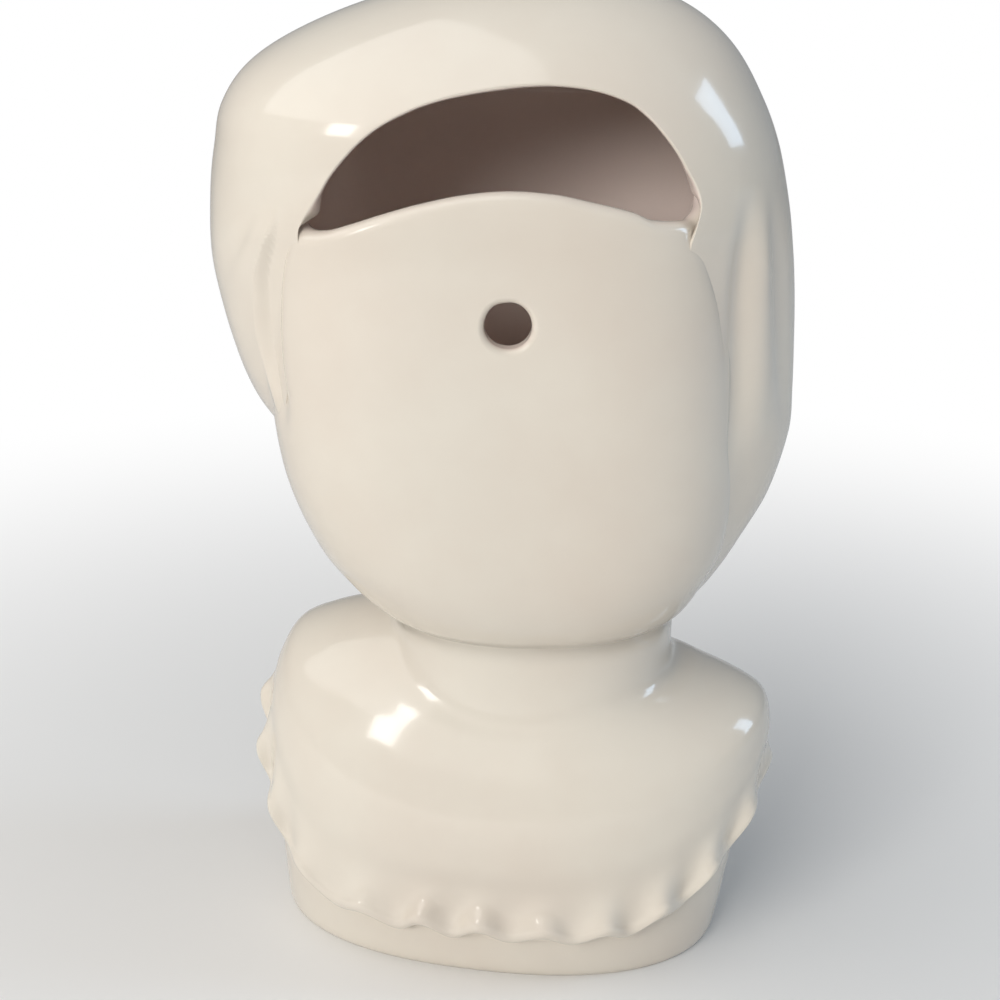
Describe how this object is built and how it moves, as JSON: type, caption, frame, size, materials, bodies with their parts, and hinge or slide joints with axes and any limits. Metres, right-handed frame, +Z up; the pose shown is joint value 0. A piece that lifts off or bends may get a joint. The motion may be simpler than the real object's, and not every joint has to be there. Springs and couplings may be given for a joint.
{
  "type": "head planter",
  "caption": "Glazed ceramic head planter with a crescent mouth in the back of the head, a flat back with a hanging hole, a short neck and a ruffled shoulder cape.",
  "frame": {"origin": "middle of the flat foot, on its resting face", "axes": "+Z up through the crown, +Y out of the flat back with the hanging hole, -Y the way the face looks, +X the wearer's left"},
  "size_m": [0.1223, 0.0944, 0.208],
  "materials": {
    "cream_glaze": "glossy cream-white glaze",
    "bisque": "dry unglazed foot"
  },
  "bodies": {
    "root": {"foot_floor": "bisque", "base_wall": "cream_glaze", "shoulder_cape": "cream_glaze", "neck_sleeve": "cream_glaze", "back_panel": "cream_glaze", "face_mask": "cream_glaze", "hair_left_side": "cream_glaze", "hair_right_side": "cream_glaze", "hair_crown": "cream_glaze"}
  },
  "joints": []
}
